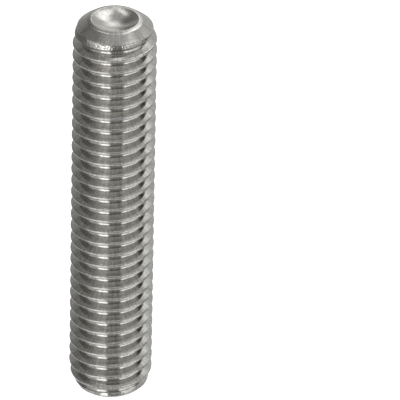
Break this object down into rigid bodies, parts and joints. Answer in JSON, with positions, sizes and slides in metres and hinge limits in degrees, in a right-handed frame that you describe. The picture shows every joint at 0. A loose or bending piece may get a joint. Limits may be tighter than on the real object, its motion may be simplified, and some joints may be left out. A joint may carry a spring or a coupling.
{
  "type": "socket set screw",
  "caption": "Headless threaded rod with a hexagon key socket in one end and a cup point on the other.",
  "frame": {"origin": "middle of the socket end, at the plane of its lip", "axes": "+Z along the screw's axis, from the socket end to the cup point; +X and +Y are the picture's right and away from the camera"},
  "size_m": [0.0078, 0.0078, 0.04],
  "materials": {
    "steel": "bare stainless steel: rolled thread and turned cup bright, socket end satin from forging"
  },
  "bodies": {
    "root": {"set_screw": "steel"}
  },
  "joints": []
}
